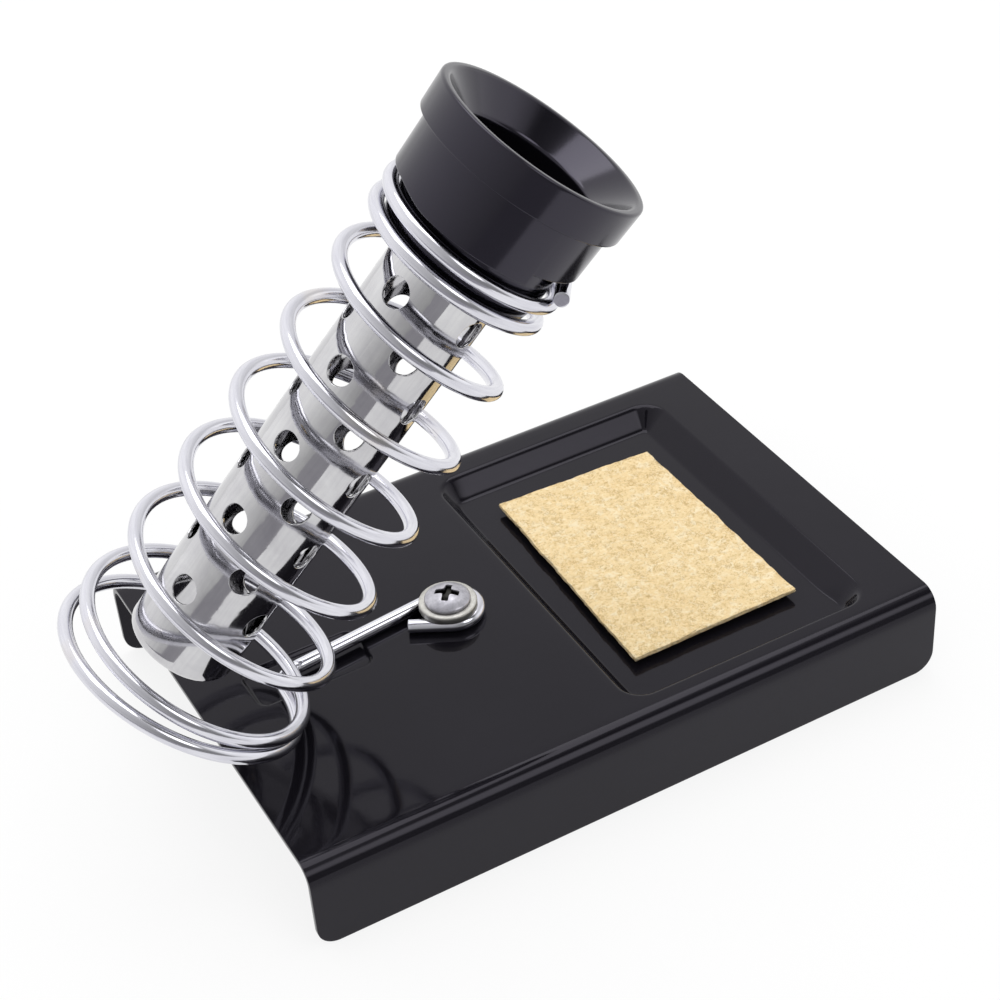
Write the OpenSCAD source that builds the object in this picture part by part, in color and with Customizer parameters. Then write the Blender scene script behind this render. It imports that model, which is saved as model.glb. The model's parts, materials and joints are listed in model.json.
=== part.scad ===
// Soldering iron stand. A folded steel base has a pressed tray for a cleaning sponge. One spring wire is
// clamped to the base by a screw, runs to the left end and winds up into a leaning coil, whose close top
// turns grip the neck of a plastic cup. A perforated steel tube hangs in the cup and guards the hot barrel.
// The origin is the centre of the base's footprint on the table, +X to the sponge end, +Y to the back.

/* [Base plate] */
// Length of the base, from the coil's end to the sponge's end
plate_l = 128; // [118:1:160]
// Width of the base, from the front to the back
plate_w = 89; // [84:1:120]
// Height of the base's top above the table
plate_h = 18; // [16:1:30]
// Thickness of the steel sheet
sheet_t = 1; // [0.7:0.1:1.4]
// Outer radius of the two long bends
bend_r = 3.9; // [2.4:0.1:6]
// Radius of the lower corners of the two flanges
flange_corner_r = 4; // [1:0.5:7]

/* [Sponge tray] */
// Width of the tray's rim, along the base
tray_w = 48.6; // [44:0.2:54]
// Length of the tray's rim, across the base
tray_l = 72.5; // [62:0.5:76]
// Depth of the tray
tray_depth = 3.7; // [2.5:0.1:5]
// How far the sloping wall runs inwards on its way down
tray_wall_run = 3.6; // [2:0.1:5]
// Corner radius of the tray's rim
tray_corner_r = 8; // [6:0.5:12]
// Distance of the rim from the base's right end
tray_margin = 12.1; // [9:0.1:14]
// How far the tray sits in front of the base's centre line
tray_forward = 0.95; // [0:0.05:2]

/* [Sponge] */
// Width of the sponge, along the base
sponge_w = 34.5; // [25:0.5:38]
// Length of the sponge, across the base
sponge_l = 52.5; // [40:0.5:60]
// Thickness of the dry pressed sponge
sponge_t = 2.3; // [1.5:0.1:6]
// How far the sponge is turned in its tray, in degrees
sponge_turn = -1.3; // [-3:0.1:3]
// How far the sponge lies in front of the tray's centre
sponge_forward = 0.6; // [0:0.05:1.5]
// How far the sponge lies to the left of the tray's centre
sponge_left = 0.5; // [0:0.05:1]

/* [Clamp screw] */
// Distance of the screw from the base's left end
screw_from_end = 49.7; // [44:0.1:56]
// How far the screw sits in front of the base's centre line
screw_forward = 0.6; // [0:0.1:2]
// Thread diameter of the screw
screw_d = 4; // [3.5:0.5:5]
// Head diameter of the screw
screw_head_d = 8.6; // [8:0.1:9.5]
// Head height of the screw
screw_head_h = 2.2; // [1.8:0.1:3]
// Outer diameter of the washer under the head
top_washer_d = 10.9; // [10:0.1:13]
// Thickness of the washer under the head
top_washer_t = 1.4; // [0.8:0.1:1.6]
// Outer diameter of the washer under the base
under_washer_d = 10; // [9.4:0.1:13]
// Thickness of the washer under the base
under_washer_t = 1; // [0.6:0.1:1.4]
// Thickness of the spring washer
spring_washer_t = 0.9; // [0.8:0.1:1.4]
// Width of the nut across its flats
nut_flats = 7; // [7:0.5:9]
// Height of the nut
nut_h = 3.2; // [3:0.1:4.4]
// How far the screw's end shows below the nut
screw_end_out = 1; // [0.5:0.1:2]
// Play of the screw in its hole and in the washers, on the radius
screw_play = 0.2; // [0.1:0.05:0.4]

/* [Wire] */
// Diameter of the spring wire
wire_d = 2.6; // [2.2:0.1:3]
// Radius of the eye round the screw, to the middle of the wire
eye_r = 4.7; // [4.4:0.1:5]
// How far the eye wraps round the screw, in degrees
eye_wrap = 216; // [200:1:240]
// Length of the straight tail after the eye
tail_l = 8.1; // [3:0.1:8.5]
// How far the eye lies behind the screw's centre
eye_back = 0.3; // [0:0.05:0.5]
// Heading of the arm, as it turns forward from the base's length, in degrees
arm_slant = 6.3; // [4:0.1:8]
// Length of the bend between the arm and the coil, along the arm
bend_l = 5.3; // [4:0.1:8]

/* [Arm recess] */
// Length of the shallow recess that the arm passes over
recess_l = 23; // [18:0.5:24.5]
// Width of the recess
recess_w = 10.4; // [8:0.2:14]
// Depth of the recess
recess_depth = 0.8; // [0.4:0.1:1]
// Distance of the recess's near end from the screw
recess_from_screw = 17.6; // [14:0.1:18.4]
// Corner radius of the recess
recess_corner_r = 2.2; // [1.5:0.1:3]

/* [Lean of the holder] */
// Distance from the screw, along the base, to where the holder's axis meets the level of the base's top
foot_left = 64.94; // [62:0.1:70]
// Distance from the screw to that point, towards the back
foot_back = 4.6; // [2:0.1:7]
// Lean of the holder over the base, in degrees
lean_right = 38.46; // [34:0.1:44]
// Lean of the holder towards the front, in degrees
lean_front = 9.58; // [6:0.1:12]

/* [Coil] */
// Number of turns from the arm's bend to the cut end
coil_turns = 9.16; // [8.6:0.01:9.6]
// Height of the first turn over the foot, along the axis, to the underside of the wire
coil_rise = 17.85; // [17.7:0.05:20]
// Radius of the lowest turn, to the middle of the wire
coil_foot_r = 22.28; // [21:0.1:24]
// Radius of the open turns where the taper ends
coil_waist_r = 15.87; // [15:0.1:18]
// Number of turns over which the coil tapers
taper_turns = 7.07; // [6:0.01:7.2]
// Gap between the close turns at the foot
foot_turn_gap = 1.6; // [1.5:0.1:2.4]
// Pitch of the first open turn
open_pitch_low = 15.5; // [13:0.1:17]
// Pitch of the last open turn
open_pitch_high = 14; // [12:0.1:16]
// Gap between the close turns round the cup's neck
neck_turn_gap = 1.45; // [0.9:0.05:1.8]
// Turn at which the pitch begins to open
open_turn = 1.14; // [1.1:0.01:1.5]
// Turn at which the pitch begins to close round the neck
close_turn = 6.7; // [6.4:0.01:7]
// Part of a turn over which the pitch opens
open_blend = 0.7; // [0.4:0.01:1]
// Part of a turn over which the pitch closes
close_blend = 0.84; // [0.5:0.01:1]
// How far the lowest turn is off the axis, towards the right
foot_off_right = 0.91; // [0:0.01:2]
// How far the lowest turn is off the axis, towards the front
foot_off_front = 4.34; // [3:0.01:5]
// Tilt of the lowest turn up towards the right, in degrees
foot_tilt_right = 4.2; // [3:0.1:6]
// Tilt of the lowest turn up towards the front, in degrees
foot_tilt_front = 6.1; // [5.5:0.1:8]
// Tilt of the open turns, the same both ways, in degrees
open_tilt = 1.7; // [0:0.1:3]
// Tilt of the neck turns down towards the right, in degrees
neck_tilt_right = -0.6; // [-1.5:0.1:1.5]
// Tilt of the neck turns down towards the front, in degrees
neck_tilt_front = 1; // [0:0.1:2]
// Part of the gap between the neck turns by which the wire's cut end settles on the turn below
end_settle = 0.9; // [0:0.05:0.95]
// Length of the straight end that stands off the neck, as part of a turn
end_straight = 0.068; // [0:0.002:0.08]
// How far the first part of the first turn is tucked in
start_tuck = 0.75; // [0:0.05:1]

/* [Cup] */
// Radius of the neck that the coil grips
neck_r = 14.4; // [14:0.1:15.2]
// Length of the neck below the skirt
neck_l = 9.45; // [8:0.05:12]
// How far the neck's lower end narrows, on the radius, to lead it into the coil
neck_lead_in = 0.6; // [0.4:0.1:1]
// Length of the narrowing
neck_lead_l = 2.6; // [2.2:0.1:4]
// Radius of the skirt below the band
skirt_r = 17.2; // [17:0.1:18]
// Length of the skirt
skirt_l = 9.5; // [7:0.1:14]
// Radius of the band round the mouth
band_r = 18.9; // [18.5:0.1:21]
// Height of the band
band_h = 6.4; // [5.4:0.1:9]
// Draft that narrows the skirt and the band downwards, on the radius
cup_draft = 0.2; // [0.1:0.05:0.4]
// Width of the flat lip
lip_w = 1.4; // [1:0.1:2]
// Depth of the funnel below the lip
funnel_depth = 4.9; // [3:0.1:7]
// Radius of the throat, which guides the iron's handle
throat_r = 12; // [11.6:0.1:12.6]
// Thickness of the cup's floor
cup_floor_t = 3; // [2:0.1:4]
// How far the skirt hangs lower beside the notch
skirt_drop = 1.1; // [0.6:0.1:1.2]
// Width of the low part round the skirt, in degrees
skirt_drop_arc = 90; // [40:1:94]
// Height of the notch over the wire's cut end
notch_h = 0.9; // [0.5:0.1:3]
// Width of the notch round the skirt, in degrees
notch_arc = 56; // [40:1:70]
// Gap between the coil's wire and the cup
coil_gap = 0.3; // [0.15:0.05:0.5]

/* [Heat tube] */
// Outer radius of the perforated tube
tube_r = 9.9; // [8.5:0.1:10.6]
// Wall of the tube
tube_wall = 0.5; // [0.4:0.1:0.8]
// Length of the tube below the cup's floor
tube_l = 84.8; // [76:0.1:90]
// Radius of the seating flange at the tube's top
tube_flange_r = 11.4; // [11:0.1:11.5]
// Outer radius of the rim rolled in at the tube's lower end
rim_roll_r = 2.4; // [1.6:0.1:3]
// Diameter of the vent holes
vent_d = 5.2; // [3:0.1:6]
// Number of rings of vent holes
vent_rings = 9; // [3:1:9]
// Distance from one ring of holes to the next
vent_pitch = 8; // [7:0.1:8.2]
// Distance of the lowest ring from the tube's lower end
first_vent = 14.6; // [10:0.1:16]
// Angle of the even rings round the tube, in degrees
vent_turn = 68.3; // [0:0.1:90]
// Gap round the tube in the cup's floor
tube_gap = 0.05; // [0.02:0.01:0.1]

/* [Hidden] */
$fn = 64;

// Play between parts that lie on each other
rest_gap = 0.05;
// How far a cutting body runs past the face it cuts
cut_over = 1;

painted_black = [0.05, 0.05, 0.06];
moulded_black = [0.09, 0.09, 0.1];
plated_steel = [0.78, 0.79, 0.81];
bright_wire = [0.84, 0.85, 0.87];
dry_sponge = [0.88, 0.74, 0.45];

// The screw and what is stacked on it
screw_x = -plate_l / 2 + screw_from_end;
screw_y = -screw_forward;
screw_r = screw_d / 2;
screw_hole_r = screw_r + screw_play;
wire_r = wire_d / 2;
wire_z = plate_h + rest_gap + wire_r;
top_washer_z = wire_z + wire_r + rest_gap;
head_z = top_washer_z + top_washer_t;
under_washer_z = plate_h - sheet_t - under_washer_t;
spring_washer_z = under_washer_z - spring_washer_t;
nut_z = spring_washer_z - nut_h;
screw_end_z = nut_z - screw_end_out;

// The tray and the sponge in it
tray_x = plate_l / 2 - tray_margin - tray_w / 2;
tray_y = -tray_forward;
tray_floor_z = plate_h - tray_depth;

// The holder's axis: its foot, its own X towards the right, its own Y towards the back, and its Z
foot = [screw_x - foot_left, screw_y + foot_back, plate_h];
own_x = [cos(lean_right), 0, -sin(lean_right)];
own_y = [sin(lean_front) * sin(lean_right), cos(lean_front), sin(lean_front) * cos(lean_right)];
own_z = [cos(lean_front) * sin(lean_right), -sin(lean_front), cos(lean_front) * cos(lean_right)];
function on_holder(v) = foot + v.x * own_x + v.y * own_y + v.z * own_z;

// Smooth step from 0 to 1, and the area under it up to x
function ease(x) = let (c = min(1, max(0, x))) c * c * (3 - 2 * c);
function eased_sum(x) = x <= 0 ? 0 : x < 1 ? x * x * x - x * x * x * x / 2 : x - 0.5;

// Height of the wire along the axis after u turns: close at the foot, open, then close round the neck
foot_pitch = wire_d + foot_turn_gap;
neck_pitch = wire_d + neck_turn_gap;
open_turns = close_turn - open_turn;
function opened(u) = max(0, u - open_turn);
function pitch_drift(u) =
    let (v = min(opened(u), open_turns)) v * v / (2 * open_turns) + max(0, opened(u) - open_turns);
function coil_height(u) =
    coil_rise + wire_r + foot_pitch * u
    + (open_pitch_low - foot_pitch) * open_blend * eased_sum((u - open_turn) / open_blend)
    + (open_pitch_high - open_pitch_low) * pitch_drift(u)
    + (neck_pitch - open_pitch_high) * close_blend * eased_sum((u - close_turn) / close_blend)
    - end_settle * neck_turn_gap * pow(max(0, 1 + (u - coil_turns) / 0.55), 2);

// Radius of the wire's middle after u turns: a straight taper, then the neck turns, then the straight end
coil_neck_r = neck_r + coil_gap + wire_r;
function at_neck(u) = ease((u - close_turn) / close_blend);
function at_foot(u) = 1 - ease(u / 1.5);
function tapered(u) = min(1, max(0, (u - 0.5) / (taper_turns - 0.5)));
function coil_radius(u) =
    (coil_foot_r + (coil_waist_r - coil_foot_r) * tapered(u) + (coil_neck_r - coil_waist_r) * at_neck(u)
     - start_tuck * (1 - ease(3 * u))) / cos(360 * max(0, u - coil_turns + end_straight));

// Slope of a turn, which goes from the foot's tilt to the open tilt and then to the neck's
function tilt(u, foot_tilt, neck_tilt) =
    tan(open_tilt) + (tan(foot_tilt) - tan(open_tilt)) * at_foot(u)
    + (tan(-neck_tilt) - tan(open_tilt)) * at_neck(u);

// Point of the wire's middle after u turns, in the holder's own axes. The coil is left-handed.
function centring(u) = 1 - min(1, u / taper_turns);
function coil_point(u) =
    let (right = coil_radius(u) * cos(360 * u), front = coil_radius(u) * sin(360 * u))
    [right + foot_off_right * centring(u),
     -front - foot_off_front * centring(u),
     coil_height(u) + right * tilt(u, foot_tilt_right, neck_tilt_right)
                    + front * tilt(u, foot_tilt_front, neck_tilt_front)];

// The eye and the arm lie flat on the base, and a bend joins the arm to the coil
arm_heading = 180 + arm_slant;
eye_x = screw_x + sqrt(max(0, pow(eye_r - wire_r - screw_r, 2) - eye_back * eye_back)) * 0.82;
eye_y = screw_y + eye_back;
eye_end = arm_heading - 90;
eye_start = eye_end - eye_wrap;
function heading(a) = [cos(a), sin(a), 0];
function eye_point(a) = [eye_x, eye_y, wire_z] + eye_r * heading(a);
coil_start = on_holder(coil_point(0));
coil_way = unit(on_holder(coil_point(0.01)) - coil_start);
arm_l = (coil_start - eye_point(eye_end)) * heading(arm_heading) - bend_l;
arm_end = eye_point(eye_end) + arm_l * heading(arm_heading);
bend_handle = bend_l / 2;
function bend_point(t) =
    pow(1 - t, 3) * arm_end + 3 * t * pow(1 - t, 2) * (arm_end + bend_handle * heading(arm_heading))
    + 3 * t * t * (1 - t) * (coil_start - bend_handle * coil_way) + t * t * t * coil_start;

// The wire's whole route, from the cut end beside the eye to the cut end at the cup
rings_a_turn = 28;
wire_sides = 12;
coil_steps = ceil(coil_turns * rings_a_turn);
wire_route = concat(
    [eye_point(eye_start) - tail_l * heading(eye_start + 90)],
    [for (k = [0 : 14]) eye_point(eye_start + eye_wrap * k / 14)],
    [arm_end],
    [for (k = [1 : 5]) bend_point(k / 6)],
    [for (k = [0 : coil_steps]) on_holder(coil_point(coil_turns * k / coil_steps))]);

// The cup is seated on the highest part of the last turn
cup_seat = max([for (k = [0 : 20]) coil_point(coil_turns - k / 20).z]) + wire_r + coil_gap / 2;
cup_mouth = cup_seat + skirt_l + band_h;
cup_bottom = cup_seat - neck_l;
cup_floor = cup_bottom + cup_floor_t;
tube_end = cup_bottom - tube_l;
tube_bore_r = tube_r - tube_wall;

// The skirt's low part begins at the notch's front side and hangs down towards the turn under it
notch_past_end = 22;
notch_side = notch_past_end - 360 * coil_turns - notch_arc;
function low_part_turn(k) = coil_turns - 1 + (notch_arc - notch_past_end + skirt_drop_arc * k) / 360;
low_turn_top = max([for (k = [0 : 0.1 : 1]) coil_point(low_part_turn(k)).z]) + wire_r;
skirt_low = min(cup_seat - 0.1, max(cup_seat - skirt_drop, low_turn_top + coil_gap / 2));

// Unit vector along v
function unit(v) = v / norm(v);

// Ring of points round point p of a wire that runs along t
function wire_ring(p, t) =
    let (a = unit(own_z - (own_z * t) * t), b = cross(t, a))
    [for (k = [0 : wire_sides - 1])
        p + wire_r * (cos(360 * k / wire_sides) * a + sin(360 * k / wire_sides) * b)];

// Direction of a route at its point i
function route_way(route, i) =
    let (n = len(route),
         back = i == 0 ? [0, 0, 0] : unit(route[i] - route[i - 1]),
         ahead = i == n - 1 ? [0, 0, 0] : unit(route[i + 1] - route[i]))
    unit(back + ahead);

// Round wire along a route of points
module swept_wire(route) {
    n = len(route);
    m = wire_sides;
    polyhedron(
        points = [for (i = [0 : n - 1]) each wire_ring(route[i], route_way(route, i))],
        faces = concat(
            [[for (k = [m - 1 : -1 : 0]) k]],
            [for (i = [0 : n - 2], k = [0 : m - 1])
                let (a = i * m + k, b = i * m + (k + 1) % m) each [[a, b, b + m], [a, b + m, a + m]]],
            [[for (k = [0 : m - 1]) (n - 1) * m + k]]));
}

// Pressed hollow with a rim of w by l, sloping walls and round corners. Its rim is at z = 0, and above
// the rim it runs up by over.
module pressed_hollow(w, l, depth, run, corner_r, over) {
    straight_w = w - 2 * corner_r;
    straight_l = l - 2 * corner_r;
    rotate([90, 0, 0])
        linear_extrude(straight_l, center = true) hollow_section(w, depth, run, over);
    rotate([90, 0, 90])
        linear_extrude(straight_w, center = true) hollow_section(l, depth, run, over);
    for (q = [0 : 3])
        let (side = [q == 0 || q == 3 ? 1 : -1, q < 2 ? 1 : -1])
        translate([side.x * straight_w / 2, side.y * straight_l / 2, 0])
            rotate(90 * q)
                rotate_extrude(angle = 90)
                    polygon([[0, over], [corner_r, over], [corner_r, 0],
                             [corner_r - run, -depth], [0, -depth]]);
}

// Section across a pressed hollow
module hollow_section(w, depth, run, over) {
    polygon([[-w / 2, over], [w / 2, over], [w / 2, 0], [w / 2 - run, -depth],
             [run - w / 2, -depth], [-w / 2, 0]]);
}

// A pressing in the sheet: the raised underside when solid is true, or the hollow that is cut from it
module pressing(w, l, depth, run, corner_r, solid) {
    widening = sheet_t * (norm([run, depth]) - run) / depth;
    if (solid)
        translate([0, 0, -sheet_t])
            pressed_hollow(w + 2 * widening, l + 2 * widening, depth, run, corner_r + widening, sheet_t / 2);
    else
        pressed_hollow(w, l, depth, run, corner_r, cut_over);
}

module tray_pressing(solid) {
    translate([tray_x, tray_y, plate_h])
        pressing(tray_w, tray_l, tray_depth, tray_wall_run, tray_corner_r, solid);
}

// The recess follows the arm, and its middle is under the arm's middle line
module recess_pressing(solid) {
    from_eye = recess_from_screw + recess_l / 2;
    middle = eye_point(eye_end) + from_eye * heading(arm_heading);
    translate([middle.x, middle.y, plate_h])
        pressing(recess_l, recess_w, recess_depth, 0.75 * recess_depth, recess_corner_r, solid);
}

// Outline across the base: a rectangle with its two top corners rounded
module folded_outline(w, h, r) {
    difference() {
        translate([-w / 2, 0]) square([w, h]);
        for (side = [-1, 1])
            translate([side * (w / 2 - r), h - r])
                difference() {
                    translate([side > 0 ? 0 : -r - cut_over, 0]) square(r + cut_over);
                    circle(r);
                }
    }
}

// Waste outside the round lower corners of both flanges
module flange_corner_waste() {
    for (side = [-1, 1])
        translate([side * (plate_l / 2 - flange_corner_r), 0, flange_corner_r])
            rotate([90, 0, 0])
                linear_extrude(plate_w + 2 * cut_over, center = true)
                    difference() {
                        translate([side > 0 ? 0 : -flange_corner_r - cut_over, -flange_corner_r - cut_over])
                            square(flange_corner_r + cut_over);
                        circle(flange_corner_r);
                    }
}

module base_plate() {
    color(painted_black)
        difference() {
            union() {
                difference() {
                    rotate([90, 0, 90])
                        linear_extrude(plate_l, center = true)
                            difference() {
                                folded_outline(plate_w, plate_h, bend_r);
                                translate([0, -cut_over])
                                    folded_outline(plate_w - 2 * sheet_t, plate_h - sheet_t + cut_over,
                                                   bend_r - sheet_t);
                            }
                    flange_corner_waste();
                }
                tray_pressing(true);
                recess_pressing(true);
            }
            tray_pressing(false);
            recess_pressing(false);
            translate([screw_x, screw_y, plate_h - sheet_t - cut_over])
                cylinder(r = screw_hole_r, h = sheet_t + 2 * cut_over);
        }
}

// Half of the section of a domed head, which stands r wide and h high
module dome_section(r, h) {
    rim_h = 0.35 * h;
    crown_h = h - rim_h;
    ball_r = (r * r + crown_h * crown_h) / (2 * crown_h);
    square([r, rim_h]);
    translate([0, rim_h])
        intersection() {
            translate([0, crown_h - ball_r]) circle(ball_r);
            square([r, crown_h]);
        }
}

// One arm pair of the cross recess, narrower at its bottom
module cross_slot() {
    slot_l = 0.54 * screw_head_d;
    slot_depth = 0.6 * screw_head_h;
    slot_w = 0.13 * screw_head_d;
    rotate([90, 0, 0])
        linear_extrude(slot_w, center = true)
            polygon([[-slot_l / 2, cut_over], [slot_l / 2, cut_over], [slot_l / 2, 0],
                     [slot_l / 5, -slot_depth], [-slot_l / 5, -slot_depth], [-slot_l / 2, 0]]);
}

module clamp_screw() {
    color(plated_steel)
        translate([screw_x, screw_y, 0])
            difference() {
                union() {
                    translate([0, 0, head_z])
                        rotate_extrude() dome_section(screw_head_d / 2, screw_head_h);
                    translate([0, 0, screw_end_z + screw_d / 10])
                        cylinder(r = screw_r, h = head_z - screw_end_z);
                    translate([0, 0, screw_end_z])
                        cylinder(r1 = 0.8 * screw_r, r2 = screw_r, h = screw_d / 10);
                }
                translate([0, 0, head_z + screw_head_h])
                    for (turn = [50, 140]) rotate(turn) cross_slot();
            }
}

// Flat ring that lies with its underside at z
module washer(z, d, t) {
    color(plated_steel)
        translate([screw_x, screw_y, z])
            difference() {
                cylinder(d = d, h = t);
                translate([0, 0, -cut_over]) cylinder(r = screw_hole_r, h = t + 2 * cut_over);
            }
}

module top_washer() {
    washer(top_washer_z, top_washer_d, top_washer_t);
}

module under_washer() {
    washer(under_washer_z, under_washer_d, under_washer_t);
}

// A ring with one cut through it
module spring_washer() {
    ring_w = screw_d / 2.4;
    color(plated_steel)
        translate([screw_x, screw_y, spring_washer_z])
            rotate_extrude(angle = 350)
                translate([screw_hole_r, 0]) square([ring_w, spring_washer_t]);
}

// A hexagon with its lower corners turned off by a cone
module hex_nut() {
    corner_r = nut_flats / sqrt(3);
    color(plated_steel)
        translate([screw_x, screw_y, nut_z])
            difference() {
                intersection() {
                    cylinder(r = corner_r, h = nut_h, $fn = 6);
                    cylinder(r1 = nut_flats / 2, r2 = nut_flats / 2 + 2 * nut_h, h = nut_h);
                }
                translate([0, 0, -cut_over]) cylinder(r = screw_r + rest_gap, h = nut_h + 2 * cut_over);
            }
}

module coil_wire() {
    color(bright_wire) swept_wire(wire_route);
}

// Places a part on the holder's own axis
module on_holder_axis() {
    translate(foot) rotate([lean_front, lean_right, 0]) children();
}

// Waste along the skirt's lower edge: the notch over the wire's cut end, and the rim all round but for the
// low part
module skirt_waste() {
    rotate(notch_side)
        edge_waste(neck_r + coil_gap, notch_arc, notch_h);
    rotate(notch_side + notch_arc / 2)
        edge_waste(neck_r + coil_gap / 2, 360 - skirt_drop_arc - notch_arc / 2, 0);
}

// Waste over an arc of the skirt's lower edge, outside radius r, up to h over the cup's seat
module edge_waste(r, arc, h) {
    translate([0, 0, cup_seat])
        rotate_extrude(angle = arc)
            translate([r, skirt_low - cup_seat - cut_over])
                square([skirt_r, cup_seat + h - skirt_low + cut_over]);
}

module holder_cup() {
    band_z = cup_seat + skirt_l;
    color(moulded_black)
        on_holder_axis()
            difference() {
                rotate_extrude()
                    polygon([[tube_r + tube_gap, cup_bottom],
                             [neck_r - neck_lead_in, cup_bottom],
                             [neck_r, cup_bottom + neck_lead_l],
                             [neck_r, skirt_low],
                             [skirt_r - cup_draft, skirt_low],
                             [skirt_r, band_z],
                             [band_r - cup_draft, band_z],
                             [band_r, cup_mouth],
                             [band_r - lip_w, cup_mouth],
                             [throat_r, cup_mouth - funnel_depth],
                             [throat_r, cup_floor],
                             [tube_flange_r + tube_gap, cup_floor],
                             [tube_flange_r + tube_gap, cup_floor - tube_wall - tube_gap],
                             [tube_r + tube_gap, cup_floor - tube_wall - tube_gap]]);
                skirt_waste();
            }
}

// Half section of the tube: a flange at the top, the wall, and a rim rolled in at the lower end
module tube_section() {
    translate([tube_bore_r, cup_floor - tube_wall]) square([tube_flange_r - tube_bore_r, tube_wall]);
    translate([tube_bore_r, tube_end + rim_roll_r]) square([tube_wall, cup_floor - tube_end - rim_roll_r]);
    translate([tube_r - rim_roll_r, tube_end + rim_roll_r])
        intersection() {
            difference() {
                circle(rim_roll_r);
                circle(rim_roll_r - tube_wall);
            }
            translate([0, -rim_roll_r]) square(rim_roll_r);
        }
}

// Two rows of drills cross at each ring and make its four holes. The odd rings are turned by 45 degrees.
module vent_drills() {
    for (ring = [0 : vent_rings - 1], cross = [0, 90])
        translate([0, 0, tube_end + first_vent + vent_pitch * ring])
            rotate(-vent_turn + 45 * (ring % 2) + cross)
                rotate([90, 0, 0])
                    cylinder(d = vent_d, h = 2 * tube_r + 2 * cut_over, center = true);
}

module heat_tube() {
    color(plated_steel)
        on_holder_axis()
            difference() {
                rotate_extrude() tube_section();
                vent_drills();
            }
}

module sponge() {
    color(dry_sponge)
        translate([tray_x - sponge_left, tray_y - sponge_forward, tray_floor_z + rest_gap])
            rotate(sponge_turn)
                translate([-sponge_w / 2, -sponge_l / 2, 0]) cube([sponge_w, sponge_l, sponge_t]);
}

base_plate();
clamp_screw();
top_washer();
under_washer();
spring_washer();
hex_nut();
coil_wire();
holder_cup();
heat_tube();
sponge();
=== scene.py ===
import json
import math

import bmesh
import bpy
import numpy as np
from mathutils import Matrix, Vector


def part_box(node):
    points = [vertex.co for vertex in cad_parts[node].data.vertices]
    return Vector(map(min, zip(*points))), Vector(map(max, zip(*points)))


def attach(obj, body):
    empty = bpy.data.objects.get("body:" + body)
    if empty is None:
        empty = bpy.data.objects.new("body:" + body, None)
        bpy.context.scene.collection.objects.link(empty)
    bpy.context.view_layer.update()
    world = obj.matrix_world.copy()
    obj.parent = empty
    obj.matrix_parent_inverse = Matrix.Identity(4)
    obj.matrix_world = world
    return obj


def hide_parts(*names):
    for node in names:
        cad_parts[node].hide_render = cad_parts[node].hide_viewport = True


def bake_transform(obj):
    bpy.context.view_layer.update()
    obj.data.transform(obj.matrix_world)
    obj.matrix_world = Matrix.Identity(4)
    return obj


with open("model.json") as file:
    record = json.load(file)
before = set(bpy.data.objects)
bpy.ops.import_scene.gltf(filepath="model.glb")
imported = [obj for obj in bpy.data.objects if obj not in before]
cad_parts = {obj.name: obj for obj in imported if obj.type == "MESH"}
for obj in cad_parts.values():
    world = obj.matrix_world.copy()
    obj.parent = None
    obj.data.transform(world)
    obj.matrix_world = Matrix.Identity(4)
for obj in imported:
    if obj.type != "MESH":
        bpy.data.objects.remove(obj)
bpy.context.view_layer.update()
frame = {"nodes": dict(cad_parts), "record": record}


# ---- Base plate -------------------------------------------------------------------------------------
# One steel sheet, sheared to length and folded down at the front and the back, with a sponge tray and
# a shallow recess for the wire's arm pressed into it. The whole sheet is dipped in gloss black enamel,
# which rounds its cut edges.

plate_end, plate_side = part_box("base_plate")[1][:2]
plate_top = 0.018
sheet_thickness = 0.001
bend_radius = 0.0039
flange_corner = 0.004
paint_edge = 0.00018

tray_middle = np.array([0.0277, -0.0009])
tray_half = np.array([0.0258, 0.0374])
tray_corner = 0.005
tray_depth = 0.0037
tray_near_wall, tray_far_wall, tray_softness = 0.0024, 0.004, 0.0006
recess_half = np.array([0.0115, 0.0052])
recess_corner = 0.0022
recess_depth = 0.0008
recess_wall = 0.0006
press_softness = 0.00035

enamel_black = (0.0062, 0.0056, 0.0078, 1)
enamel_haze = (0.0085, 0.0078, 0.0108, 1)
enamel_sheen = (0.9, 0.86, 1, 1)


def ease(x):
    """Smooth step: 0 below 0, 3x^2 - 2x^3 between, 1 above 1."""
    c = np.clip(x, 0, 1)
    return c * c * (3 - 2 * c)


def inside_distance(x, y, middle, half, corner):
    """How far (x, y) lies inside a rectangle with round corners: the corner radius less the distance to
    the rectangle shrunk by that radius, or the nearest side's distance well inside. Negative outside."""
    qx = np.abs(x - middle[0]) - (half[0] - corner)
    qy = np.abs(y - middle[1]) - (half[1] - corner)
    beyond = np.hypot(np.maximum(qx, 0), np.maximum(qy, 0))
    return corner - beyond - np.minimum(np.maximum(qx, qy), 0)


def soft_ramp(d, run, softness):
    """Rise from 0 to 1 over run, with both ends rounded: the difference of two rounded corners, each of
    which is 0, then (x + e)^2 / 4e, then x, for a softness of e."""
    def corner(x):
        return np.where(x > softness, x, np.where(x < -softness, 0, (x + softness) ** 2 / (4 * softness)))
    return (corner(d) - corner(d - run)) / run


def lines(*stretches):
    """Places of grid lines: each stretch is (first, last, step), and all are merged and sorted."""
    spots = [np.linspace(a, b, max(2, int(round(abs(b - a) / step)) + 1)) for a, b, step in stretches]
    return np.unique(np.round(np.concatenate(spots), 7))


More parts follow.
